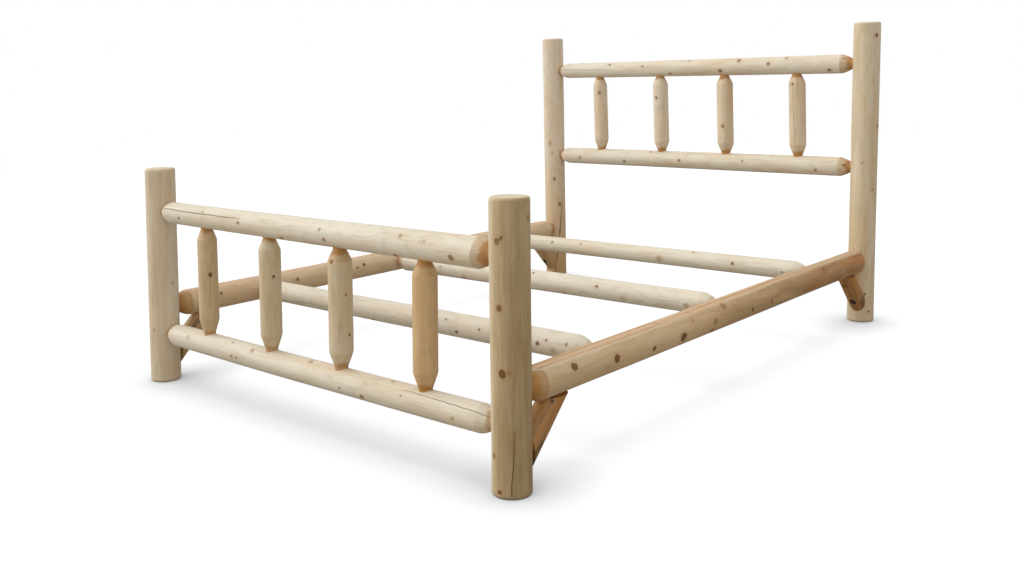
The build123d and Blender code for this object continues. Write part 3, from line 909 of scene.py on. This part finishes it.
SIDE_WORK = {
    "side_rail_left": {
        "tone": (0.14, 0.12), "heart": (0.9, 0.3), "blush": (1.25, 1.2),
        "knots": [(-873, 69, 10, 0.7), (-545, 76, 11, 0.8), (-217, 70, 12, 0.9), (-252, 79, 9, 0.7)],
    },
    "side_rail_right": {
        "tone": (0.40, 0.5, 1.0, 1.16), "heart": (0.9, 0.5), "blush": (0.4, 0.8, 1.0, 0.7),
        "knots": [
            (-875, 59, 20, 0.95), (-699, 84, 22, 1.0), (-518, 101, 14, 1.0), (-362, 101, 26, 1.0),
            (-297, 53, 11, 0.25), (-179, 88, 16, 0.5), (-186, 128, 16, 1.0), (-108, 43, 22, 0.5),
            (-40, 78, 10, 0.25), (60, 101, 14, 1.0), (196, 100, 12, 0.9), (626, 46, 12, 1.0),
            (744, 79, 13, 0.6), (920, 48, 10, 0.8), (-592, 16, 8, 0.5), (-442, 5, 11, 0.3),
            (-274, 8, 11, 0.3)],
    },
}
SPINDLE_WORK = {
    "footboard_spindle_1": {
        "tone": (0.46, 0.42), "heart": (-0.3, 0.2), "lean_90": (-0.002, 0.005),
        "knots": [(382, 69, 12, 0.9)], "blush": (0.5, 0.4),
        "checks": [(54, 84, 270, 455, 0.8, 0.4)],
    },
    "footboard_spindle_2": {
        "tone": (0.40, 0.40), "heart": (-0.4, 0.0), "lean_90": (-0.002, 0.005),
        "knots": [(413, 72, 8, 0.95)],
    },
    "footboard_spindle_3": {
        "tone": (0.38, 0.46), "heart": (-0.2, 0.6), "lean_90": (-0.008, -0.001),
        "knots": [(399, 75, 7, 0.5), (289, 91, 7, 0.8), (488, 6, 9, 0.9)], "blush": (0.3, 0.3),
        "checks": [(35, 52, 262, 335, 0.8, 0.4)],
    },
    "footboard_spindle_4": {
        "tone": (0.52, 0.48), "heart": (0.0, 0.5), "blush": (1.1, 1.1), "lean_90": (-0.003, 0.004),
    },
    "headboard_spindle_1": {
        "tone": (0.10, 0.08), "blush": (0.75, 0.7), "lean_90": (0.0015, -0.0065),
        "knots": [(887, 25, 11, 0.7)],
    },
    "headboard_spindle_2": {
        "tone": (0.0, 0.0), "blush": (0.5, 0.5), "lean_90": (0.0065, -0.0015),
        "knots": [(863, -7, 11, 0.8)],
    },
    "headboard_spindle_3": {
        "tone": (0.22, 0.26), "blush": (0.5, 0.7), "lean_90": (0.0025, -0.0055),
        "knots": [(942, 2, 8, 0.8), (744, 8, 13, 0.6)], "checks": [(-34, -30, 835, 918, 1.4, 0.7)],
    },
    "headboard_spindle_4": {
        "tone": (0.20, 0.20), "blush": (0.65, 0.65), "lean_90": (0.005, -0.003),
        "knots": [(916, -10, 9, 0.8)],
        "checks": [(1, -9, 650, 925, 1.4, 0.7), (26, 29, 860, 940, 1.2, 0.7)],
    },
}


def make_logs(context, table, describe):
    """Makes every log of a table in the peeled wood that they all share."""
    scene = context.scene
    wood = shared("peeled_cedar_logs", peeled_wood, scene.bed_colours)
    for node, work in table.items():
        make_log(describe(node, scene.bed_sizes, work), scene.bed_sizes, wood)
    return {"FINISHED"}


class BED_OT_posts(bpy.types.Operator):
    """Make the four corner posts with eased, sawn ends"""

    bl_idname = "bed.posts"
    bl_label = "Posts"
    bl_options = {"REGISTER", "UNDO"}

    def execute(self, context):
        return make_logs(context, POST_WORK, post_log)


class BED_OT_panel_rails(bpy.types.Operator):
    """Make the four cross rails of the headboard and the footboard"""

    bl_idname = "bed.panel_rails"
    bl_label = "Panel rails"
    bl_options = {"REGISTER", "UNDO"}

    def execute(self, context):
        return make_logs(context, PANEL_WORK, panel_rail_log)


class BED_OT_spindles(bpy.types.Operator):
    """Make the eight upright spindles of the headboard and the footboard"""

    bl_idname = "bed.spindles"
    bl_label = "Spindles"
    bl_options = {"REGISTER", "UNDO"}

    def execute(self, context):
        return make_logs(context, SPINDLE_WORK, spindle_log)


class BED_OT_side_rails(bpy.types.Operator):
    """Make the two side rails with their sawn tops"""

    bl_idname = "bed.side_rails"
    bl_label = "Side rails"
    bl_options = {"REGISTER", "UNDO"}

    def execute(self, context):
        return make_logs(context, SIDE_WORK, side_rail_log)


class BED_OT_cross_slats(bpy.types.Operator):
    """Make the three round cross slats between the side rails"""

    bl_idname = "bed.cross_slats"
    bl_label = "Cross slats"
    bl_options = {"REGISTER", "UNDO"}

    def execute(self, context):
        return make_logs(context, SLAT_WORK, slat_log)


class BED_OT_braces_and_screws(bpy.types.Operator):
    """Finish the mitred corner braces, their lag screws and washers, and the tenon screws"""

    bl_idname = "bed.braces_and_screws"
    bl_label = "Braces and screws"
    bl_options = {"REGISTER", "UNDO"}

    def execute(self, context):
        colours = context.scene.bed_colours
        dark = shared("brace_cedar", brace_wood, colours)
        # Screws and washers in zinc whose colour is darkened as painted shade
        steel = shared("zinc_plated_screws_shaded", shaded_zinc_steel, colours)
        for name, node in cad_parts.items():
            if name.startswith("corner_brace") or name.endswith(("screws", "washers")):
                node.data.materials.clear()
                node.data.materials.append(dark if name.startswith("corner_brace") else steel)
        return {"FINISHED"}


class BED_OT_stage(bpy.types.Operator):
    """Make the floor, the light and the camera"""

    bl_idname = "bed.stage"
    bl_label = "Stage"
    bl_options = {"REGISTER", "UNDO"}

    def execute(self, context):
        settings = context.scene.bed_stage
        floor = make_floor(settings)
        make_light(settings, floor)
        make_camera(context.scene)
        context.scene.view_settings.view_transform = "Standard"
        return {"FINISHED"}


def make_floor(settings):
    """Flat square on the ground. To the camera its colour is pale, with the lamps' soft shadows on it and a
    painted shadow where its own glow dims near the pieces; to the light that bounces it is a plain mid
    grey."""
    reach = settings.floor_reach
    corners = [(-reach, -reach, 0), (reach, -reach, 0), (reach, reach, 0), (-reach, reach, 0)]
    mesh = bpy.data.meshes.new("studio_floor")
    mesh.from_pydata(corners, [], [(0, 1, 2, 3)])
    floor = add_object("studio_floor", mesh)
    paper = Shading(bpy.data.materials.new("studio_paper"))
    seen = paper.node("LightPath").outputs["Is Camera Ray"]
    diffuse = paper.node("BsdfDiffuse", [paper.blend(seen, settings.floor_bounce, settings.floor_seen)])
    # Painted shadow: the floor's own glow is dimmed by ambient occlusion near the pieces
    nearby = paper.node("AmbientOcclusion", {"Distance": settings.shadow_reach}, samples=16)
    glow_outside_painted_shadow = paper.math("POWER", nearby.outputs["AO"], 1.4)
    brightness = paper.times(paper.times(seen, settings.glow), glow_outside_painted_shadow)
    glow = paper.node("Emission", [(0.985, 0.99, 1.0), brightness])
    both = paper.node("AddShader", [diffuse.outputs[0], glow.outputs[0]])
    paper.node("OutputMaterial", [both.outputs[0]])
    mesh.materials.append(paper.owner)
    return floor


def make_light(settings, floor):
    """An even sky, white where the camera or a reflection sees it, and three wide soft lamps. The two
    low ones are kept off the floor, so that their long shadows stay off too."""
    world = bpy.data.worlds.new("studio_sky")
    sky = Shading(world)
    path = sky.node("LightPath").outputs
    seen = sky.math("MAXIMUM", path["Is Camera Ray"], path["Is Glossy Ray"])
    brightness = sky.node("MapRange", {"Value": seen, "To Min": settings.sky, "To Max": 1.0})
    light = sky.node("Background", [(1, 1, 1), brightness.outputs[0]])
    sky.node("OutputWorld", [light.outputs[0]])
    bpy.context.scene.world = world
    kept_off = bpy.data.collections.new("kept_off")
    kept_off.objects.link(floor)
    kept_off.collection_objects[0].light_linking.link_state = "EXCLUDE"
    make_sun("light_overhead", (-0.1, -0.1, 1.0), settings.top, settings.top_spread)
    side = make_sun("light_from_left", (-0.78, -0.5, 0.35), settings.side, settings.side_spread)
    fill = make_sun("light_from_right", (0.76, -0.64, 0.12), settings.fill, settings.fill_spread)
    for lamp in (side, fill):
        lamp.light_linking.receiver_collection = kept_off


def make_sun(name, light_from, energy, angle):
    """A wide, soft lamp of even strength that shines from that direction."""
    lamp = bpy.data.lights.new(name, "SUN")
    lamp.energy = energy
    lamp.angle = angle
    sun = add_object(name, lamp)
    sun.rotation_mode = "QUATERNION"
    sun.rotation_quaternion = Vector(light_from).to_track_quat("Z", "Y")
    return sun


def make_camera(scene):
    """A camera at the corner beyond the right foot post, a little above the bed. It is turned by
    its yaw from +Y, then its pitch, then its roll, and its shift takes up how far the point that
    it looks straight at lies from the middle of its frame."""
    turn = Matrix.Identity(3)
    for angle, axis in ((CAMERA_YAW, "Z"), (90 + CAMERA_PITCH, "X"), (CAMERA_ROLL, "Z")):
        turn = turn @ Matrix.Rotation(math.radians(angle), 3, axis)
    lens = bpy.data.cameras.new("camera")
    lens.sensor_fit = "HORIZONTAL"
    lens.lens = lens.sensor_width * FOCAL_LENGTH / FRAME_WIDTH
    lens.shift_x = (FRAME_WIDTH / 2 - AHEAD_X) / FRAME_WIDTH
    lens.shift_y = (AHEAD_Y - FRAME_HEIGHT / 2) / FRAME_WIDTH
    camera = add_object("camera", lens)
    camera.rotation_mode = "QUATERNION"
    camera.rotation_quaternion = turn.to_quaternion()
    camera.location = CAMERA_PLACE
    scene.camera = camera


class BED_PT_panel(bpy.types.Panel):
    """The bed's pieces in the 3D view's sidebar"""

    bl_label = "Log Bed"
    bl_idname = "BED_PT_panel"
    bl_space_type = "VIEW_3D"
    bl_region_type = "UI"
    bl_category = "Log Bed"

    def draw(self, context):
        for operator in OPERATORS:
            self.layout.operator(operator.bl_idname)
        for group in SETTINGS:
            settings = getattr(context.scene, group)
            box = self.layout.box()
            for name in settings.bl_rna.properties.keys():
                if name not in ("rna_type", "name"):
                    box.prop(settings, name)


OPERATORS = (
    BED_OT_posts, BED_OT_panel_rails, BED_OT_spindles, BED_OT_side_rails, BED_OT_cross_slats,
    BED_OT_braces_and_screws, BED_OT_stage,
)
SETTINGS = {"bed_sizes": LogSizes, "bed_colours": WoodColours, "bed_stage": StageSettings}
CLASSES = (*SETTINGS.values(), *OPERATORS, BED_PT_panel)


def register():
    for made in CLASSES:
        bpy.utils.register_class(made)
    for name, group in SETTINGS.items():
        setattr(bpy.types.Scene, name, bpy.props.PointerProperty(type=group))


def unregister():
    for name in SETTINGS:
        delattr(bpy.types.Scene, name)
    for made in reversed(CLASSES):
        bpy.utils.unregister_class(made)


def main():
    """Makes every piece in order."""
    register()
    for operator in OPERATORS:
        group, name = operator.bl_idname.split(".")
        getattr(getattr(bpy.ops, group), name)()


if __name__ == "__main__":
    main()
